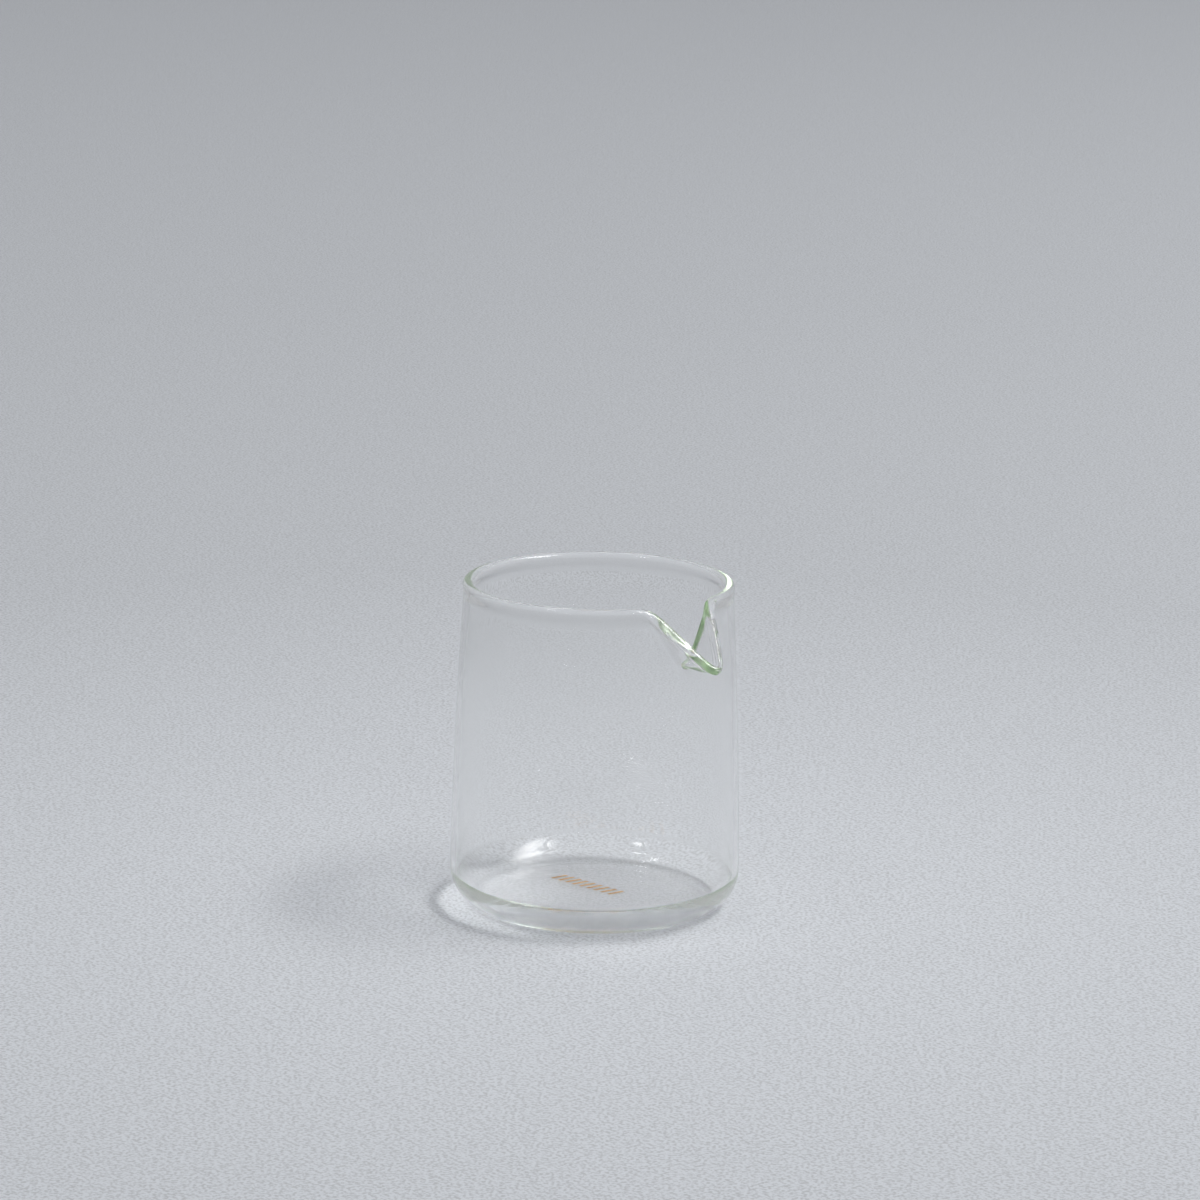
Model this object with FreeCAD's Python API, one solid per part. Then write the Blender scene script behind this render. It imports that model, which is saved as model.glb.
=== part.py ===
# A handleless jug of clear glass, blown in one piece, with a round bead at the rim and a pouring beak
# folded out of the wall.  Millimetres, +Z up, the origin at the centre of the underside, the beak along +X.
import FreeCAD, Part
import math
import os
from types import SimpleNamespace

NODE = "jug_body"

# alias, value, what it is
SIZES = (
    ("body_radius", 48.0, "outside radius where the heel meets the wall"),
    ("heel_radius", 12.4, "rounding outside, from the underside into the wall"),
    ("floor_thickness", 3.6, "glass between the underside and the inner floor"),
    ("slope_radius", 22.0, "bow of the slope inside, between the floor and the wall"),
    ("slope_turn", 24.0, "degrees that the bow takes of the quarter turn from floor to wall"),
    ("slope_rounding", 3.0, "rounding at each end of the slope"),
    ("flat_radius", 20.0, "edge of the plain discs in the middle of floor and underside"),
    ("wall_thickness", 1.9, "glass of the wall"),
    ("rim_thickening", 1.0, "glass that the wall gains on its way up to the rim"),
    ("thickening_reach", 35.0, "height over which it gains that"),
    ("wall_lean", 3.65, "how far the wall leans in between the heel and the rim"),
    ("lean_power", 1.48, "1 leans evenly, more keeps the lower wall upright"),
    ("rim_height", 107.7, "height of the bead's centre"),
    ("rim_radius", 42.86, "radius of the ring that the bead's centre follows"),
    ("bead_radius", 1.8, "radius of the bead's round top"),
    ("lip_height", 3.8, "height over which both faces of the wall swell into the bead"),
    ("beak_half_width", 16.4, "rim folded out on each side of the beak's middle"),
    ("beak_depth", 17.3, "height of wall folded out at the beak's middle"),
    ("beak_stretch", 0.94, "length of the folded wall over its height before"),
    ("beak_rise", 2.5, "slope of the beak's valley, in degrees above level"),
    ("fold_rounding", 4.8, "half the height over which the wall bends outwards"),
    ("valley_rounding", 4.8, "half the width over which the two sides of the beak meet"),
    ("shoulder_rounding", 6.0, "half the length over which the beak leaves the rim"),
    ("lip_thinning", 0.2, "share of the bead's section lost at the beak's tip"),
    ("thinning_reach", 17.0, "how far out that share is reached"),
    ("thinning_depth", 7.0, "how far below the bead's centre the section starts to thin"),
    ("thinning_blend", 4.5, "height over which the thinning comes in"),
)

COLUMNS = 104           # of the skin, around the jug
CROWDING = 0.8          # 0 spaces the columns evenly, towards 1 crowds them at the beak
DISC_ROWS = 5           # across each flat ring between the plain disc and the rounding
FLAT_ROWS = DISC_ROWS + 2  # at each end of the section, with the start of the rounding
HEEL_ROWS = 8           # along the heel
SLOPE_ROWS = (3, 8, 3)  # along the slope's three arcs
WALL_ROWS = 30          # up each side of the wall
WALL_CROWDING = 0.72    # as CROWDING, towards the rim
BEAD_ROWS = 10          # over the bead
OUTSIDE, INSIDE = 1, -1  # the two faces of the wall
DEGREE = 3
STEP = 0.02             # for the slopes of the middle surface
MESH_FINENESS = 0.05    # of the mesh that the volume is measured on
GLASS_KG_PER_MM3 = 2.23e-6


def make_sheet(doc):
    """Put the driving sizes in a spreadsheet, one aliased cell each."""
    sheet = doc.addObject("Spreadsheet::Sheet", "Sizes")
    for row, (alias, value, meaning) in enumerate(SIZES, start=1):
        sheet.set(f"A{row}", meaning)
        sheet.set(f"B{row}", str(value))
        sheet.setAlias(f"B{row}", alias)
    doc.recompute()
    return sheet


def read_sheet(sheet):
    """The sheet's values by name."""
    return SimpleNamespace(**{alias: float(sheet.get(alias)) for alias, _, _ in SIZES})


def ramp(distance, rounding):
    """Nothing below, the distance itself above, and a smooth bend where they meet."""
    if distance <= -rounding:
        return 0.0
    if distance >= rounding:
        return distance
    return (distance + rounding) ** 3 * (3.0 * rounding - distance) / (16.0 * rounding ** 3)


def smooth_step(share):
    """From 0 to 1 with level ends."""
    share = min(max(share, 0.0), 1.0)
    return share * share * (3.0 - 2.0 * share)


# ---- the wall before the beak is folded out ----

def outer_radius(size, height):
    """Outside radius of the wall."""
    share = max(height - size.heel_radius, 0.0) / (size.rim_height - size.heel_radius)
    return size.body_radius - size.wall_lean * share ** size.lean_power


def thickness(size, height):
    """Thickness of the wall, which grows slowly towards the rim."""
    share = smooth_step((height - size.rim_height + size.thickening_reach) / size.thickening_reach)
    return size.wall_thickness + size.rim_thickening * share


def middle_radius(size, height):
    """Radius of the surface halfway through the wall."""
    return outer_radius(size, height) - thickness(size, height) / 2.0


def wall_face(size, height, side):
    """Radius of one face of the wall, left plain up to the rim."""
    return middle_radius(size, height) + side * thickness(size, height) / 2.0


def face_radius(size, height, side):
    """Radius of one face of the wall, which swells into the bead."""
    swell = size.rim_radius + side * size.bead_radius - wall_face(size, size.rim_height, side)
    share = smooth_step((height - size.rim_height + size.lip_height) / size.lip_height)
    return wall_face(size, height, side) + swell * share


# ---- the fold that makes the beak ----

def beak_share(size, along):
    """1 at the beak's middle, 0 from where the rim is plain."""
    from_middle = 2.0 * ramp(along, size.valley_rounding) - along
    return ramp(size.beak_half_width - from_middle, size.shoulder_rounding) / size.beak_half_width


def fold_height(size, along):
    """Height at which the wall bends out, above the bead wherever the rim is plain."""
    plain = size.rim_height + size.bead_radius + size.fold_rounding
    drop = size.beak_depth + size.bead_radius + size.fold_rounding
    return plain - drop * beak_share(size, along) / beak_share(size, 0.0)


def folded_out(size, along, height):
    """How far the wall at this place has been folded out."""
    return ramp(height - fold_height(size, along), size.fold_rounding)


def middle_point(size, along, height):
    """Point of the wall's middle surface, where along is counted round the rim from the beak."""
    out = folded_out(size, along, height)
    upright = height - out
    radius = middle_radius(size, upright)
    angle = along / size.rim_radius
    rise = math.radians(size.beak_rise)
    reach = out * size.beak_stretch
    return FreeCAD.Vector(
        radius * math.cos(angle) + reach * math.cos(rise),
        radius * math.sin(angle),
        upright + reach * math.sin(rise),
    )


def outward(size, along, height):
    """Unit vector across the wall, away from the inside."""
    sideways = middle_point(size, along + STEP, height) - middle_point(size, along - STEP, height)
    upwards = middle_point(size, along, height + STEP) - middle_point(size, along, height - STEP)
    return sideways.cross(upwards).normalize()


def folded(size, angle, radius, height):
    """Where a point of the plain turned jug goes when the beak is folded out."""
    along = angle * size.rim_radius
    far_out = min(folded_out(size, along, size.rim_height) / size.thinning_reach, 1.0)
    blend = smooth_step((height - size.rim_height + size.thinning_depth) / size.thinning_blend)
    section = 1.0 - size.lip_thinning * far_out * blend
    across = (radius - middle_radius(size, height)) * section
    lifted = size.rim_height + (height - size.rim_height) * section
    return middle_point(size, along, lifted) + outward(size, along, lifted) * across


# ---- the section of the plain turned jug ----

def arc(centre, radius, start, end, rows):
    """Radius and height of evenly spaced points on an arc, angles in degrees."""
    for row in range(rows + 1):
        angle = math.radians(start + (end - start) * row / rows)
        yield centre[0] + radius * math.cos(angle), centre[1] + radius * math.sin(angle)


def disc_rows(inner, outer):
    """Radii across a flat ring, the first three at the knots' own spacing at the end of a spline."""
    gap = (outer - inner) / DISC_ROWS
    yield inner
    yield inner + gap / 3.0
    for row in range(1, DISC_ROWS):
        yield inner + gap * row


def wall_rows(size, low, side):
    """Radius and height up one face of the wall, between its foot and the bead, crowded at the rim."""
    for row in range(1, WALL_ROWS):
        share = row / WALL_ROWS
        crowded = share + WALL_CROWDING * math.sin(math.pi * share) / math.pi
        height = low + (size.rim_height - low) * crowded
        yield face_radius(size, height, side), height


def slope_ends(size):
    """Angles in degrees where the slope's bow starts and ends, counted down from level."""
    return 45.0 - size.slope_turn / 2.0, 45.0 + size.slope_turn / 2.0


def slope_size(size):
    """Height of the slope, which is also how far it reaches in from the wall."""
    steep, flat = (math.radians(angle) for angle in slope_ends(size))
    spread = math.cos(steep) - math.cos(flat)
    return size.slope_rounding * (1.0 - spread) + size.slope_radius * spread


def slope_rows(size, wall, foot):
    """Radius and height down the slope, three arcs that run into each other, from wall to floor."""
    steep, flat = slope_ends(size)
    small, large = size.slope_rounding, size.slope_radius
    x, z = wall - small, foot
    upper_rows, bow_rows, lower_rows = SLOPE_ROWS
    yield from arc((x, z), small, 0.0, -steep, upper_rows)
    x -= (large - small) * math.cos(math.radians(steep))
    z += (large - small) * math.sin(math.radians(steep))
    yield from list(arc((x, z), large, -steep, -flat, bow_rows))[1:]
    x += (large - small) * math.cos(math.radians(flat))
    z -= (large - small) * math.sin(math.radians(flat))
    yield from list(arc((x, z), small, -flat, -90.0, lower_rows))[1:]


def section(size):
    """Radius and height along the glass, from the underside up and over the rim to the inner floor."""
    foot_edge = size.body_radius - size.heel_radius
    inside_foot = size.floor_thickness + slope_size(size)
    inside_wall = wall_face(size, inside_foot, INSIDE)
    floor_edge = inside_wall - slope_size(size)
    rows = [(radius, 0.0) for radius in disc_rows(size.flat_radius, foot_edge)]
    rows += arc((foot_edge, size.heel_radius), size.heel_radius, -90.0, 0.0, HEEL_ROWS)
    rows += wall_rows(size, size.heel_radius, OUTSIDE)
    rows += arc((size.rim_radius, size.rim_height), size.bead_radius, 0.0, 180.0, BEAD_ROWS)
    rows += reversed(list(wall_rows(size, inside_foot, INSIDE)))
    rows += slope_rows(size, inside_wall, inside_foot)
    rows += reversed([(radius, size.floor_thickness) for radius in disc_rows(size.flat_radius, floor_edge)])
    return rows


# ---- the skin ----

def column_angle(column):
    """Angle of a column from the beak, with the seam at the back."""
    turn = 2.0 * math.pi * column / COLUMNS - math.pi
    return turn - CROWDING * math.sin(turn)


def pole(before, point, after):
    """Control point that brings a cubic spline through the point between its neighbours."""
    return (point * 8.0 - before - after) * (1.0 / 6.0)


def skin_poles(size):
    """Control points of the glass surface, by column and row."""
    rows = section(size)
    grid = [[folded(size, column_angle(column), radius, height) for radius, height in rows]
            for column in range(COLUMNS)]
    last = len(rows) - 1
    for line in grid:
        points = list(line)
        for row in range(FLAT_ROWS, last - FLAT_ROWS + 1):
            line[row] = pole(points[row - 1], points[row], points[row + 1])
    columns = [COLUMNS - 1, *range(COLUMNS - 1)]
    return [[pole(grid[column - 1][row], grid[column][row], grid[(column + 1) % COLUMNS][row])
             for row in range(last + 1)] for column in columns]


def skin_face(size):
    """The whole outside and inside of the jug but for the two plain discs, closed round the jug."""
    poles = skin_poles(size)
    spans = len(poles[0]) - DEGREE
    surface = Part.BSplineSurface()
    surface.buildFromPolesMultsKnots(
        poles,
        [1] * (COLUMNS + 1), [DEGREE + 1] + [1] * (spans - 1) + [DEGREE + 1],
        [float(knot) for knot in range(COLUMNS + 1)], [float(knot) for knot in range(spans + 1)],
        True, False, DEGREE, DEGREE,
    )
    return surface.toShape()


def disc_face(skin, height):
    """The plain disc that closes the skin at this height, facing away from the glass."""
    rims = [edge for edge in skin.Edges
            if edge.isClosed() and abs(edge.BoundBox.ZMax - height) + abs(edge.BoundBox.ZMin - height) < 1e-6]
    return Part.Face(Part.Wire(rims[:1])).reversed()


def jug_solid(size):
    """The jug as one closed solid."""
    skin = skin_face(size)
    shell = Part.Shell([skin, disc_face(skin, size.floor_thickness), disc_face(skin, 0.0)])
    solid = Part.Solid(shell)
    if solid.Volume < 0.0:
        solid.reverse()
    return solid


def make_jug(doc, size):
    """The jug as an object of the document."""
    jug = doc.addObject("Part::Feature", NODE)
    jug.Label = NODE
    jug.Shape = jug_solid(size)
    jug.Placement = FreeCAD.Placement()
    return jug


def check(doc, jug):
    """Stop if any object failed or the jug isn't one good closed solid."""
    for item in doc.Objects:
        if {"Invalid", "Error"} & set(item.State):
            raise RuntimeError(f"{item.Label} failed: {item.State}")
    shape = jug.Shape
    if shape.isNull() or not shape.isValid() or len(shape.Solids) != 1 or not shape.isClosed():
        raise RuntimeError(f"{jug.Label} isn't one valid closed solid")


def glass_volume(shape):
    """Volume inside a fine mesh of the shape."""
    points, triangles = shape.tessellate(MESH_FINENESS)
    return sum(points[a].dot(points[b].cross(points[c])) for a, b, c in triangles) / 6.0


def main():
    doc = FreeCAD.newDocument("GlassJug")
    size = read_sheet(make_sheet(doc))
    jug = make_jug(doc, size)
    doc.recompute()
    check(doc, jug)
    os.makedirs("parts", exist_ok=True)
    jug.Shape.exportStep(f"parts/{NODE}.step")
    box = jug.Shape.BoundBox
    volume = glass_volume(jug.Shape)
    print(f"{NODE}: x {box.XMin:.2f}..{box.XMax:.2f}, y {box.YMin:.2f}..{box.YMax:.2f}, "
          f"z {box.ZMin:.2f}..{box.ZMax:.2f} mm")
    print(f"glass {volume / 1000.0:.1f} cm3, {volume * GLASS_KG_PER_MM3:.3f} kg")


main()
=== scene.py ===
"""Dresses the glass jug: its polished skin of clear glass, the little print under it and a pale studio."""

import logging
import math
from dataclasses import dataclass, field
from enum import Enum

import bmesh
import bpy
from mathutils import Matrix, Vector

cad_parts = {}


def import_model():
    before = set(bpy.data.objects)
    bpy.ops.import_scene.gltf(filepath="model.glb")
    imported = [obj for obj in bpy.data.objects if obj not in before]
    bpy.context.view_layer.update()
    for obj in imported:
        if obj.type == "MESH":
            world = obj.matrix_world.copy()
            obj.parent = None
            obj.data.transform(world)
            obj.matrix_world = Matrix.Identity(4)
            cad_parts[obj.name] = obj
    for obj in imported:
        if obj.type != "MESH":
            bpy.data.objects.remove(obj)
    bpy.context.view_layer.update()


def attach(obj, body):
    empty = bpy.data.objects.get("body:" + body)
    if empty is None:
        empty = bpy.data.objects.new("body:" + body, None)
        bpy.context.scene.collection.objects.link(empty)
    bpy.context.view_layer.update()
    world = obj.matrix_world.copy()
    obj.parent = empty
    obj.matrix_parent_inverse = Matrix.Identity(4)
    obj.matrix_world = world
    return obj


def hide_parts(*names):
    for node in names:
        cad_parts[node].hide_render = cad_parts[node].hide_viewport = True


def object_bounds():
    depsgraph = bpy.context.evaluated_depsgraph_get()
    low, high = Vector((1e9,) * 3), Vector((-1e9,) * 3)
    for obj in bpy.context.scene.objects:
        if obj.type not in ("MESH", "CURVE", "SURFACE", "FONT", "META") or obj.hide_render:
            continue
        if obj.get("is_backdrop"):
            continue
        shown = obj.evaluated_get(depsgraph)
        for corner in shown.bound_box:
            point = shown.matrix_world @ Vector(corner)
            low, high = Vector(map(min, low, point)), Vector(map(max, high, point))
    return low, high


logging.basicConfig(level=logging.INFO, format="%(message)s")
log = logging.getLogger("jug")

MM = 0.001
TOUCHING = 1e-6
UP = Vector((0.0, 0.0, 1.0))
VIEW_AZIMUTH = 51.2
Colour = tuple[float, float, float]


class Side(Enum):
    """The two faces of the wall."""

    OUTSIDE = 1
    INSIDE = -1


# ---------------------------------------------------------------- finishes


def two_tone(ramp_node: bpy.types.ShaderNodeValToRGB, ends: tuple[float, float],
             colours: tuple[Colour, Colour]) -> None:
    """Set both ends of a colour ramp.

    Args:
        ramp_node: The node of the ramp.
        ends: Where its two ends stand.
        colours: Their colours.
    """
    for stop, end, colour in zip(ramp_node.color_ramp.elements, ends, colours):
        stop.position = end
        stop.color = (*colour, 1.0)


@dataclass(frozen=True)
class ClearGlass:
    """Clear glass, a little green where it is thick, with the faint cords of hand-worked glass."""

    name: str = "clear_glass"
    refraction: float = 1.474
    tint: Colour = (0.76, 0.86, 0.70)
    tint_per_metre: float = 4.0
    cord_height: float = 0.0003 * MM
    cord_scale: float = 26.0
    cord_stretch: float = 0.12

    def make(self) -> bpy.types.Material:
        """Build the material.

        Returns:
            The material, with its tint as absorption in the body of the glass.
        """
        material = bpy.data.materials.new(self.name)
        material.use_nodes = True
        nodes, links = material.node_tree.nodes, material.node_tree.links
        shader = nodes["Principled BSDF"]
        shader.inputs["Base Color"].default_value = (1.0, 1.0, 1.0, 1.0)
        shader.inputs["Roughness"].default_value = 0.0
        shader.inputs["IOR"].default_value = self.refraction
        shader.inputs["Transmission Weight"].default_value = 1.0
        body = nodes.new("ShaderNodeVolumeAbsorption")
        body.inputs["Color"].default_value = (*self.tint, 1.0)
        body.inputs["Density"].default_value = self.tint_per_metre
        links.new(body.outputs["Volume"], nodes["Material Output"].inputs["Volume"])
        place = nodes.new("ShaderNodeTexCoord")
        stretch = nodes.new("ShaderNodeMapping")
        stretch.inputs["Scale"].default_value = (1.0, 1.0, self.cord_stretch)
        cords = nodes.new("ShaderNodeTexNoise")
        cords.inputs["Scale"].default_value = self.cord_scale
        cords.inputs["Detail"].default_value = 1.0
        relief = nodes.new("ShaderNodeBump")
        relief.inputs["Distance"].default_value = self.cord_height
        links.new(place.outputs["Object"], stretch.inputs["Vector"])
        links.new(stretch.outputs["Vector"], cords.inputs["Vector"])
        links.new(cords.outputs["Fac"], relief.inputs["Height"])
        links.new(relief.outputs["Normal"], shader.inputs["Normal"])
        return material


@dataclass(frozen=True)
class PrintInk:
    """Orange ceramic ink, thin enough to be a little uneven."""

    name: str = "orange_ink"
    full: Colour = (0.62, 0.28, 0.03)
    thin: Colour = (0.74, 0.42, 0.10)
    mottle_scale: float = 900.0
    mottle_range: tuple[float, float] = (0.35, 0.7)
    roughness: float = 0.45

    def make(self) -> bpy.types.Material:
        """Build the material.

        Returns:
            The material, mottled between a full and a thin coat.
        """
        material = bpy.data.materials.new(self.name)
        material.use_nodes = True
        nodes, links = material.node_tree.nodes, material.node_tree.links
        shader = nodes["Principled BSDF"]
        shader.inputs["Roughness"].default_value = self.roughness
        place = nodes.new("ShaderNodeTexCoord")
        mottle = nodes.new("ShaderNodeTexNoise")
        mottle.inputs["Scale"].default_value = self.mottle_scale
        coat = nodes.new("ShaderNodeValToRGB")
        two_tone(coat, self.mottle_range, (self.full, self.thin))
        links.new(place.outputs["Object"], mottle.inputs["Vector"])
        links.new(mottle.outputs["Fac"], coat.inputs["Fac"])
        links.new(coat.outputs["Color"], shader.inputs["Base Color"])
        return material


@dataclass(frozen=True)
class TableTop:
    """A pale, slightly grainy table top, which darkens gently away from the object: a painted pool of light
    round it.

    The fade is painted light: it lists distances from the object in metres, each with the share of its
    brightness left there.
    """

    name: str = "pale_table"
    light: Colour = (0.66, 0.68, 0.71)
    dark: Colour = (0.49, 0.50, 0.52)
    grain_scale: float = 900.0
    grain_range: tuple[float, float] = (0.36, 0.56)
    roughness: float = 0.9
    shine: float = 0.2
    # painted pool of light: the table's colour is brightest at the object and darker farther off
    fade: tuple[tuple[float, float], ...] = ((0.0, 1.0), (0.15, 0.98), (0.5, 0.84), (1.2, 0.835), (3.0, 0.89))

    def make(self) -> bpy.types.Material:
        """Build the material.

        Returns:
            The material, speckled with a fine grain.
        """
        material = bpy.data.materials.new(self.name)
        material.use_nodes = True
        nodes, links = material.node_tree.nodes, material.node_tree.links
        shader = nodes["Principled BSDF"]
        shader.inputs["Roughness"].default_value = self.roughness
        shader.inputs["Specular IOR Level"].default_value = self.shine
        place = nodes.new("ShaderNodeTexCoord")
        grain = nodes.new("ShaderNodeTexNoise")
        grain.inputs["Scale"].default_value = self.grain_scale
        grain.inputs["Detail"].default_value = 3.0
        speckle = nodes.new("ShaderNodeValToRGB")
        two_tone(speckle, self.grain_range, (self.dark, self.light))
        # painted falloff of light: distance from the object sets how much the colour is darkened
        away = nodes.new("ShaderNodeVectorMath")
        away.operation = "LENGTH"
        reach = self.fade[-1][0]
        share = nodes.new("ShaderNodeMath")
        share.operation = "DIVIDE"
        share.inputs[1].default_value = reach
        fade = nodes.new("ShaderNodeValToRGB")
        for number, (distance, strength) in enumerate(self.fade):
            stops = fade.color_ramp.elements
            stop = stops[number] if number < 2 else stops.new(distance / reach)
            stop.position = distance / reach
            stop.color = (strength, strength, strength, 1.0)
        # grain times the painted falloff of light
        blend = nodes.new("ShaderNodeMix")
        blend.data_type = "RGBA"
        blend.blend_type = "MULTIPLY"
        blend.inputs["Factor"].default_value = 1.0
        links.new(place.outputs["Object"], grain.inputs["Vector"])
        links.new(grain.outputs["Fac"], speckle.inputs["Fac"])
        links.new(place.outputs["Object"], away.inputs[0])
        links.new(away.outputs["Value"], share.inputs[0])
        links.new(share.outputs["Value"], fade.inputs["Fac"])
        links.new(speckle.outputs["Color"], blend.inputs["A"])
        links.new(fade.outputs["Color"], blend.inputs["B"])
        links.new(blend.outputs["Result"], shader.inputs["Base Color"])
        return material


# ---------------------------------------------------------------- meshes


def finished(name: str, bm: bmesh.types.BMesh, material: bpy.types.Material) -> bpy.types.Object:
    """Turn a bmesh into a smooth piece at the origin.

    Args:
        name: Name of the piece.
        bm: Its mesh, which is freed.
        material: Its finish.

    Returns:
        The new object.
    """
    mesh = bpy.data.meshes.new(name)
    bm.to_mesh(mesh)
    bm.free()
    mesh.materials.append(material)
    mesh.shade_smooth()
    piece = bpy.data.objects.new(name, mesh)
    bpy.context.scene.collection.objects.link(piece)
    return piece


class Outline:
    """A line of vertices in the XZ plane, drawn with a pen that only lines and arcs move."""

    def __init__(self, x: float, z: float) -> None:
        """Put the pen down.

        Args:
            x: Distance from the axis.
            z: Height.
        """
        self.bm = bmesh.new()
        self.pen = self.bm.verts.new((x, 0.0, z))

    def line(self, x: float, z: float, pieces: int = 1) -> list[bmesh.types.BMVert]:
        """Draw a straight line.

        Args:
            x: Distance of its end from the axis.
            z: Height of its end.
            pieces: How many edges it is cut into.

        Returns:
            The new vertices.
        """
        start, end = self.pen.co.copy(), Vector((x, 0.0, z))
        new = []
        for piece in range(1, pieces + 1):
            self.pen = bmesh.ops.extrude_vert_indiv(self.bm, verts=[self.pen])["verts"][0]
            self.pen.co = start.lerp(end, piece / pieces)
            new.append(self.pen)
        return new

    def arc(self, x: float, z: float, turn: float, pieces: int) -> None:
        """Draw an arc from the pen.

        Args:
            x: Distance of its centre from the axis.
            z: Height of its centre.
            turn: Angle in degrees, positive from +X up to +Z.
            pieces: How many edges it is cut into.
        """
        drawn = bmesh.ops.spin(self.bm, geom=[self.pen], cent=(x, 0.0, z), axis=(0.0, 1.0, 0.0),
                               angle=math.radians(-turn), steps=pieces, dvec=(0.0, 0.0, 0.0))
        self.pen = next(part for part in drawn["geom_last"] if isinstance(part, bmesh.types.BMVert))

    def spun(self, columns: int) -> bmesh.types.BMesh:
        """Spin the line round the Z axis, from the back, into a closed skin.

        Args:
            columns: How many steps the full turn takes.

        Returns:
            The mesh, which the caller owns.
        """
        bmesh.ops.rotate(self.bm, verts=self.bm.verts, cent=(0.0, 0.0, 0.0),
                         matrix=Matrix.Rotation(math.pi, 3, "Z"))
        bmesh.ops.spin(self.bm, geom=self.bm.verts[:] + self.bm.edges[:], cent=(0.0, 0.0, 0.0), axis=UP,
                       angle=2.0 * math.pi, steps=columns, use_merge=True, dvec=(0.0, 0.0, 0.0))
        bmesh.ops.remove_doubles(self.bm, verts=self.bm.verts, dist=TOUCHING)
        bmesh.ops.recalc_face_normals(self.bm, faces=self.bm.faces)
        return self.bm


def ramp(distance: float, rounding: float) -> float:
    """Nothing below, the distance itself above, and a smooth bend where they meet.

    Args:
        distance: The value to bend.
        rounding: Half the length of the bend.

    Returns:
        The bent value.
    """
    if distance <= -rounding:
        return 0.0
    if distance >= rounding:
        return distance
    return (distance + rounding) ** 3 * (3.0 * rounding - distance) / (16.0 * rounding ** 3)


def smooth_step(share: float) -> float:
    """From 0 to 1 with level ends."""
    share = min(max(share, 0.0), 1.0)
    return share * share * (3.0 - 2.0 * share)


@dataclass
class BeakFold:
    """The fold that makes the pouring beak out of a plain turned wall."""

    rim_height: float
    rim_radius: float
    bead_radius: float
    half_width: float = 16.4 * MM
    depth: float = 17.3 * MM
    stretch: float = 0.94
    rise: float = math.radians(2.5)
    fold_rounding: float = 4.8 * MM
    valley_rounding: float = 4.8 * MM
    shoulder_rounding: float = 6.0 * MM
    lip_thinning: float = 0.2
    thinning_reach: float = 17.0 * MM
    thinning_depth: float = 7.0 * MM
    thinning_blend: float = 4.5 * MM
    step: float = 0.02 * MM

    def share(self, along: float) -> float:
        """How much of the beak's depth is folded at this place along the rim, from 0 to 1."""
        from_middle = 2.0 * ramp(along, self.valley_rounding) - along
        return ramp(self.half_width - from_middle, self.shoulder_rounding) / self.half_width

    def fold_height(self, along: float) -> float:
        """Height at which the wall bends out, above the bead wherever the rim is plain."""
        margin = self.bead_radius + self.fold_rounding
        return self.rim_height + margin - (self.depth + margin) * self.share(along) / self.share(0.0)

    def out(self, along: float, height: float) -> float:
        """How far the wall at this place has been folded out."""
        return ramp(height - self.fold_height(along), self.fold_rounding)

    def middle(self, wall: "JugForm", along: float, height: float) -> Vector:
        """Where a point of the wall's middle surface goes.

        Args:
            wall: The jug's plain form.
            along: Distance along the rim from the beak's middle.
            height: Height before the fold.

        Returns:
            The folded point.
        """
        out = self.out(along, height)
        upright = height - out
        radius = wall.middle_radius(upright)
        angle = along / self.rim_radius
        reach = out * self.stretch
        return Vector((
            radius * math.cos(angle) + reach * math.cos(self.rise),
            radius * math.sin(angle),
            upright + reach * math.sin(self.rise),
        ))

    def outward(self, wall: "JugForm", along: float, height: float) -> Vector:
        """Unit vector across the wall, away from the inside."""
        sideways = self.middle(wall, along + self.step, height) - self.middle(wall, along - self.step, height)
        upwards = self.middle(wall, along, height + self.step) - self.middle(wall, along, height - self.step)
        return sideways.cross(upwards).normalized()

    def moved(self, wall: "JugForm", angle: float, radius: float, height: float) -> Vector:
        """Where a point of the plain turned jug goes.

        Args:
            wall: The jug's plain form.
            angle: Turn from the beak's middle.
            radius: Distance from the axis.
            height: Height before the fold.

        Returns:
            The point on the jug with its beak.
        """
        along = angle * self.rim_radius
        far_out = min(self.out(along, self.rim_height) / self.thinning_reach, 1.0)
        blend = smooth_step((height - self.rim_height + self.thinning_depth) / self.thinning_blend)
        section = 1.0 - self.lip_thinning * far_out * blend
        across = (radius - wall.middle_radius(height)) * section
        lifted = self.rim_height + (height - self.rim_height) * section
        return self.middle(wall, along, lifted) + self.outward(wall, along, lifted) * across


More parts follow.
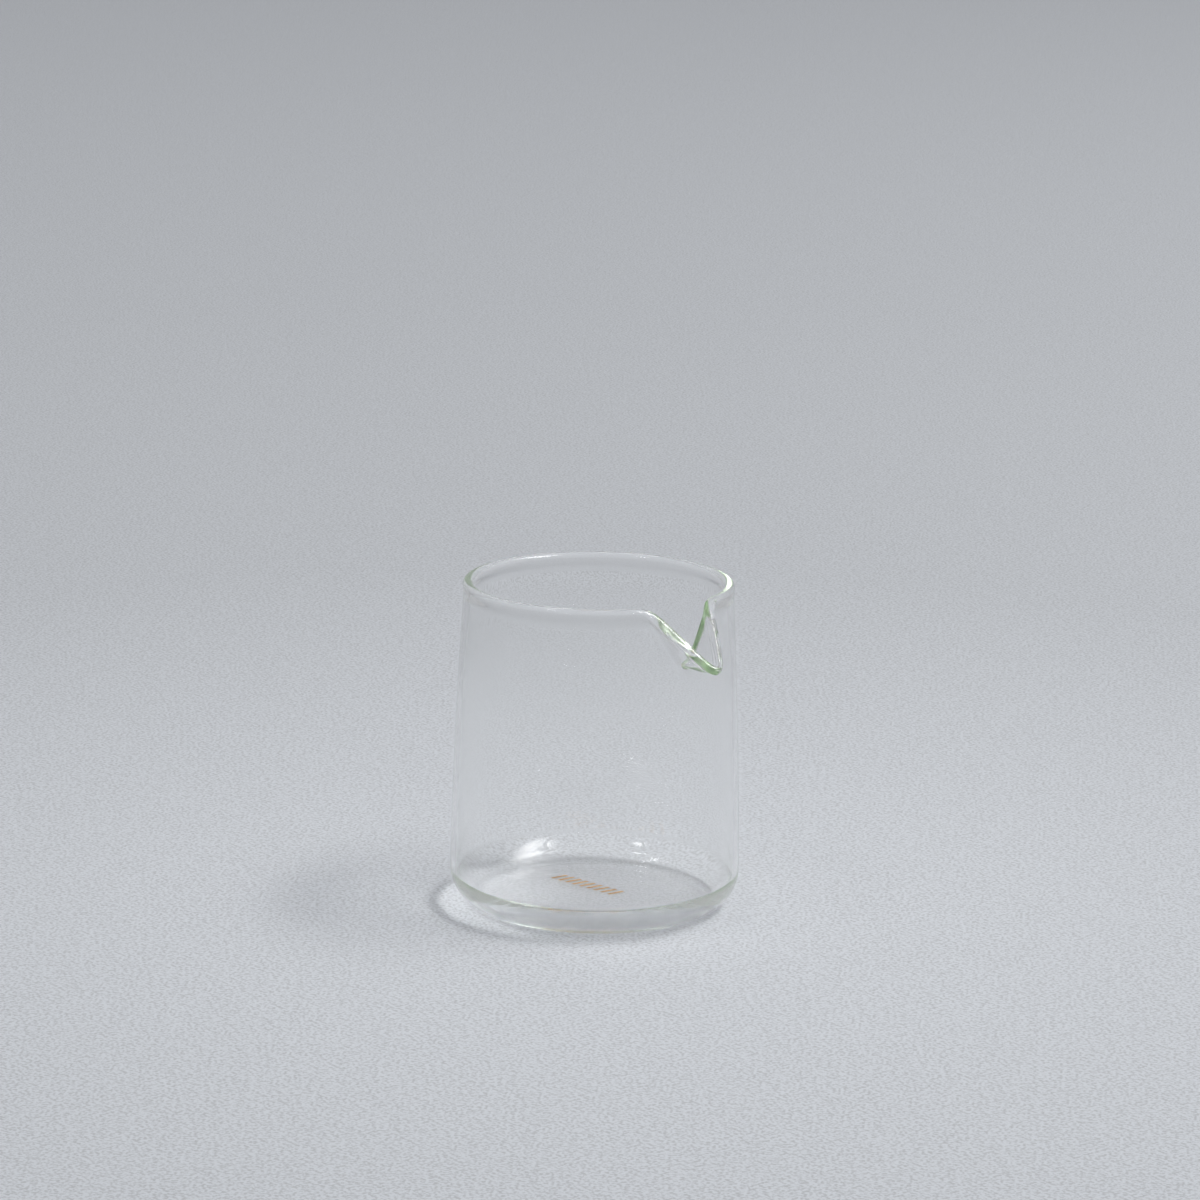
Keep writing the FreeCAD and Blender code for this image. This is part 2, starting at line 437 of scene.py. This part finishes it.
@dataclass
class JugForm:
    """The plain turned jug: heel, wall, bead and floor."""

    body_radius: float = 48.0 * MM
    heel_radius: float = 12.4 * MM
    floor_thickness: float = 3.6 * MM
    slope_radius: float = 22.0 * MM
    slope_rounding: float = 3.0 * MM
    slope_turn: float = math.radians(24.0)
    wall_thickness: float = 1.9 * MM
    rim_thickening: float = 1.0 * MM
    thickening_reach: float = 35.0 * MM
    wall_lean: float = 3.65 * MM
    lean_power: float = 1.48
    rim_height: float = 107.7 * MM
    rim_radius: float = 42.86 * MM
    bead_radius: float = 1.8 * MM
    lip_height: float = 3.8 * MM
    beak_zone: float = 26.0 * MM
    flat_edges: int = 6
    heel_edges: int = 16
    outer_wall_edges: int = 22
    inner_wall_edges: int = 20
    beak_zone_edges: int = 40
    bead_edges: int = 20
    bow_edges: int = 10
    rounding_edges: int = 6

    def outer_radius(self, height: float) -> float:
        """Outside radius of the wall."""
        share = max(height - self.heel_radius, 0.0) / (self.rim_height - self.heel_radius)
        return self.body_radius - self.wall_lean * share ** self.lean_power

    def thickness(self, height: float) -> float:
        """Thickness of the wall, which grows slowly towards the rim."""
        share = smooth_step((height - self.rim_height + self.thickening_reach) / self.thickening_reach)
        return self.wall_thickness + self.rim_thickening * share

    def middle_radius(self, height: float) -> float:
        """Radius of the surface halfway through the wall."""
        return self.outer_radius(height) - self.thickness(height) / 2.0

    def wall_face(self, height: float, side: Side) -> float:
        """Radius of one face of the wall, left plain up to the rim."""
        return self.middle_radius(height) + side.value * self.thickness(height) / 2.0

    def face_radius(self, height: float, side: Side) -> float:
        """Radius of one face of the wall, which swells towards the bead.

        Args:
            height: Height on the face.
            side: Which face.

        Returns:
            Its radius there.
        """
        bead_face = self.rim_radius + side.value * self.bead_radius
        swell = bead_face - self.wall_face(self.rim_height, side)
        share = smooth_step((height - self.rim_height + self.lip_height) / self.lip_height)
        return self.wall_face(height, side) + swell * share

    def wall(self, pen: Outline, end: float, side: Side, pieces: int) -> None:
        """Draw one stretch of one face of the wall.

        Args:
            pen: The outline being drawn, at the start.
            end: Height it goes to.
            side: Which face.
            pieces: How many edges it is cut into.
        """
        for vert in pen.line(self.face_radius(end, side), end, pieces):
            vert.co.x = self.face_radius(vert.co.z, side)

    def slope(self, pen: Outline) -> None:
        """Draw the bowed slope from the inside of the wall down to the inner floor.

        Args:
            pen: The outline being drawn, at the slope's top.
        """
        half_turn = self.slope_turn / 2.0
        steep, flat = math.pi / 4.0 - half_turn, math.pi / 4.0 + half_turn
        small, large = self.slope_rounding, self.slope_radius
        turn = math.degrees(steep)
        x, z = pen.pen.co.x - small, pen.pen.co.z
        pen.arc(x, z, -turn, self.rounding_edges)
        x -= (large - small) * math.cos(steep)
        z += (large - small) * math.sin(steep)
        pen.arc(x, z, -math.degrees(self.slope_turn), self.bow_edges)
        x += (large - small) * math.cos(flat)
        z -= (large - small) * math.sin(flat)
        pen.arc(x, z, -turn, self.rounding_edges)

    def slope_height(self) -> float:
        """Height of the slope, which is also how far it reaches in from the wall."""
        steep = math.pi / 4.0 - self.slope_turn / 2.0
        spread = math.cos(steep) - math.sin(steep)
        return self.slope_rounding * (1.0 - spread) + self.slope_radius * spread

    def outline(self) -> Outline:
        """Draw the section of the glass from the underside, over the rim, to the inner floor.

        Returns:
            The outline, on the axis at both ends.
        """
        graded = self.rim_height - self.beak_zone
        inside_foot = self.floor_thickness + self.slope_height()
        pen = Outline(0.0, 0.0)
        pen.line(self.body_radius - self.heel_radius, 0.0, self.flat_edges)
        pen.arc(self.body_radius - self.heel_radius, self.heel_radius, 90.0, self.heel_edges)
        self.wall(pen, graded, Side.OUTSIDE, self.outer_wall_edges)
        self.wall(pen, self.rim_height, Side.OUTSIDE, self.beak_zone_edges)
        pen.arc(self.rim_radius, self.rim_height, 180.0, self.bead_edges)
        self.wall(pen, graded, Side.INSIDE, self.beak_zone_edges)
        self.wall(pen, inside_foot, Side.INSIDE, self.inner_wall_edges)
        self.slope(pen)
        pen.line(0.0, self.floor_thickness, self.flat_edges)
        return pen


@dataclass
class GlassJug:
    """The jug itself, one piece of blown glass."""

    form: JugForm = field(default_factory=JugForm)
    glass: ClearGlass = field(default_factory=ClearGlass)
    columns: int = 264
    crowding: float = 0.8

    def build(self) -> bpy.types.Object:
        """Spin the section, fold out the beak and dress it.

        Returns:
            The jug, which stands for the CAD node.
        """
        fold = BeakFold(self.form.rim_height, self.form.rim_radius, self.form.bead_radius)
        bm = self.form.outline().spun(self.columns)
        for vert in bm.verts:
            radius = math.hypot(vert.co.x, vert.co.y)
            if radius < TOUCHING:
                continue
            turn = math.atan2(vert.co.y, vert.co.x)
            angle = turn - self.crowding * math.sin(turn)
            vert.co = fold.moved(self.form, angle, radius, vert.co.z)
        jug = finished("jug_glass", bm, self.glass.make())
        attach(jug, "root")
        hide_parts("jug_body")
        return jug


@dataclass
class BasePrint:
    """A row of plain slanted ticks printed on the base."""

    ink: PrintInk = field(default_factory=PrintInk)
    ticks: int = 9
    length: float = 26.0 * MM
    tick_height: float = 6.0 * MM
    tick_width: float = 1.35 * MM
    slant: float = 0.2
    coat: float = 0.04 * MM
    level: float = 0.06 * MM
    middle: tuple[float, float] = (-9.2 * MM, 4.5 * MM)
    turn: float = math.radians(8.0)

    def build(self) -> bpy.types.Object:
        """Make the ticks as one thin piece.

        Returns:
            The print.
        """
        bm = bmesh.new()
        for number in range(self.ticks):
            tick = bmesh.ops.create_cube(bm, size=1.0)["verts"]
            bmesh.ops.scale(bm, verts=tick, vec=(self.tick_width, self.tick_height, self.coat))
            for vert in tick:
                vert.co.x += vert.co.y * self.slant
            place = (number / (self.ticks - 1) - 0.5) * self.length
            bmesh.ops.translate(bm, verts=tick, vec=(place, 0.0, self.level + self.coat / 2.0))
        bmesh.ops.rotate(bm, verts=bm.verts, cent=(0.0, 0.0, 0.0), matrix=Matrix.Rotation(self.turn, 3, "Z"))
        bmesh.ops.translate(bm, verts=bm.verts, vec=(*self.middle, 0.0))
        mark = finished("base_print", bm, self.ink.make())
        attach(mark, "root")
        return mark


# ---------------------------------------------------------------- studio


@dataclass
class Lamp:
    """One oval soft box: angles in degrees, lengths in metres, power in watts.

    The edge is the share of its half width over which it fades out.
    """

    name: str
    azimuth: float
    elevation: float
    distance: float
    width: float
    height: float
    power: float
    edge: float = 0.7

    def soften(self, data: bpy.types.AreaLight) -> None:
        """Let the soft box fade towards its edge.

        Args:
            data: The soft box's light.
        """
        half = 0.5  # of the unit square that its own coordinates span
        data.use_nodes = True
        tree = data.node_tree
        geometry = tree.nodes.new("ShaderNodeNewGeometry")
        offset = tree.nodes.new("ShaderNodeVectorMath")
        offset.operation = "SUBTRACT"
        offset.inputs[1].default_value = (half, half, 0.0)
        radius = tree.nodes.new("ShaderNodeVectorMath")
        radius.operation = "LENGTH"
        share = tree.nodes.new("ShaderNodeMapRange")
        share.interpolation_type = "SMOOTHSTEP"
        share.inputs["From Min"].default_value = half * (1.0 - self.edge)
        share.inputs["From Max"].default_value = half
        share.inputs["To Min"].default_value = 1.0
        share.inputs["To Max"].default_value = 0.0
        emission = next(node for node in tree.nodes if node.type == "EMISSION")
        tree.links.new(geometry.outputs["Parametric"], offset.inputs[0])
        tree.links.new(offset.outputs["Vector"], radius.inputs[0])
        tree.links.new(radius.outputs["Value"], share.inputs["Value"])
        tree.links.new(share.outputs["Result"], emission.inputs["Strength"])

    def build(self, target: Vector) -> bpy.types.Object:
        """Hang the soft box and point it at the target.

        Args:
            target: Point that it faces.

        Returns:
            The lamp.
        """
        azimuth, elevation = math.radians(self.azimuth), math.radians(self.elevation)
        away = Vector((math.sin(azimuth) * math.cos(elevation), -math.cos(azimuth) * math.cos(elevation),
                       math.sin(elevation)))
        data = bpy.data.lights.new(self.name, "AREA")
        data.shape = "ELLIPSE"
        data.size, data.size_y = self.width, self.height
        data.energy = self.power
        self.soften(data)
        lamp = bpy.data.objects.new(self.name, data)
        lamp.location = target + away * self.distance
        lamp.rotation_euler = (-away).to_track_quat("-Z", "Y").to_euler()
        bpy.context.scene.collection.objects.link(lamp)
        return lamp


@dataclass
class Studio:
    """Table, lamps, sky and camera, whose angles are in degrees."""

    table: TableTop = field(default_factory=TableTop)
    table_reach: float = 6.0
    table_gap: float = 0.15 * MM
    horizon: Colour = (0.42, 0.425, 0.44)
    zenith: Colour = (0.46, 0.47, 0.485)
    bounces: int = 320
    camera_azimuth: float = VIEW_AZIMUTH
    camera_distance: float = 1.5
    camera_height: float = 0.451
    camera_pitch: float = 13.07
    camera_yaw: float = 0.018
    camera_roll: float = 0.91
    camera_lens: float = 140.8
    sensor: float = 36.0
    clip: tuple[float, float] = (0.05, 50.0)
    lamps: tuple[Lamp, ...] = (
        Lamp("window_lamp", VIEW_AZIMUTH + 88.0, 58.0, 4.0, 3.9, 1.7, 225.0, 0.95),
        Lamp("wide_lamp", VIEW_AZIMUTH + 95.0, 58.0, 5.0, 6.0, 4.5, 89.0),
        Lamp("front_lamp", VIEW_AZIMUTH - 60.0, 59.0, 4.0, 0.9, 0.6, 14.0),
    )

    def build(self) -> None:
        """Build everything that isn't the jug."""
        self.build_table()
        self.build_sky()
        low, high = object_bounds()
        for lamp in self.lamps:
            lamp.build((low + high) / 2.0)
        self.build_camera()
        self.set_light_paths()
        bpy.context.scene.view_settings.view_transform = "Standard"

    def build_table(self) -> None:
        """Lay the table top at the jug's foot."""
        bm = bmesh.new()
        bmesh.ops.create_grid(bm, x_segments=1, y_segments=1, size=self.table_reach)
        bmesh.ops.translate(bm, verts=bm.verts, vec=-UP * self.table_gap)
        top = finished("table_top", bm, self.table.make())
        top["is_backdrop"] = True

    def build_sky(self) -> None:
        """Light the scene all round, from a grey horizon up to a slightly paler ceiling."""
        world = bpy.data.worlds.new("studio_sky")
        world.use_nodes = True
        nodes, links = world.node_tree.nodes, world.node_tree.links
        place = nodes.new("ShaderNodeTexCoord")
        split = nodes.new("ShaderNodeSeparateXYZ")
        tone = nodes.new("ShaderNodeValToRGB")
        tone.color_ramp.elements[0].color = (*self.horizon, 1.0)
        tone.color_ramp.elements[1].color = (*self.zenith, 1.0)
        links.new(place.outputs["Generated"], split.inputs["Vector"])
        links.new(split.outputs["Z"], tone.inputs["Fac"])
        links.new(tone.outputs["Color"], nodes["Background"].inputs["Color"])
        bpy.context.scene.world = world

    def set_light_paths(self) -> None:
        """Let light pass the many faces of the glass and gather under it."""
        cycles = bpy.context.scene.cycles
        cycles.max_bounces = self.bounces
        cycles.transmission_bounces = self.bounces
        cycles.glossy_bounces = self.bounces
        cycles.blur_glossy = 0.0
        cycles.sample_clamp_indirect = 0.0

    def build_camera(self) -> None:
        """Put the camera at its height and distance from the jug's axis, and aim it."""
        azimuth = math.radians(self.camera_azimuth)
        pitch, yaw, roll = (math.radians(angle)
                            for angle in (self.camera_pitch, self.camera_yaw, self.camera_roll))
        back = Vector((math.sin(azimuth), -math.cos(azimuth), 0.0))
        right = Vector((math.cos(azimuth), math.sin(azimuth), 0.0))
        turned = right * math.cos(yaw) + back * math.sin(yaw)
        level = -back * math.cos(yaw) + right * math.sin(yaw)
        forward = level * math.cos(pitch) - UP * math.sin(pitch)
        above = turned.cross(forward)
        side = turned * math.cos(roll) + above * math.sin(roll)
        above = above * math.cos(roll) - turned * math.sin(roll)
        data = bpy.data.cameras.new("camera")
        data.lens = self.camera_lens
        data.sensor_width = self.sensor
        data.clip_start, data.clip_end = self.clip
        camera = bpy.data.objects.new("camera", data)
        camera.matrix_world = Matrix.Translation(back * self.camera_distance + UP * self.camera_height) \
            @ Matrix((side, above, -forward)).transposed().to_4x4()
        bpy.context.scene.collection.objects.link(camera)
        bpy.context.scene.camera = camera


def main() -> None:
    """Build the jug, its print and the studio."""
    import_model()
    pieces = [GlassJug().build(), BasePrint().build()]
    for piece in pieces:
        log.info("%s: %d faces", piece.name, len(piece.data.polygons))
    Studio().build()


if __name__ == "__main__":
    main()
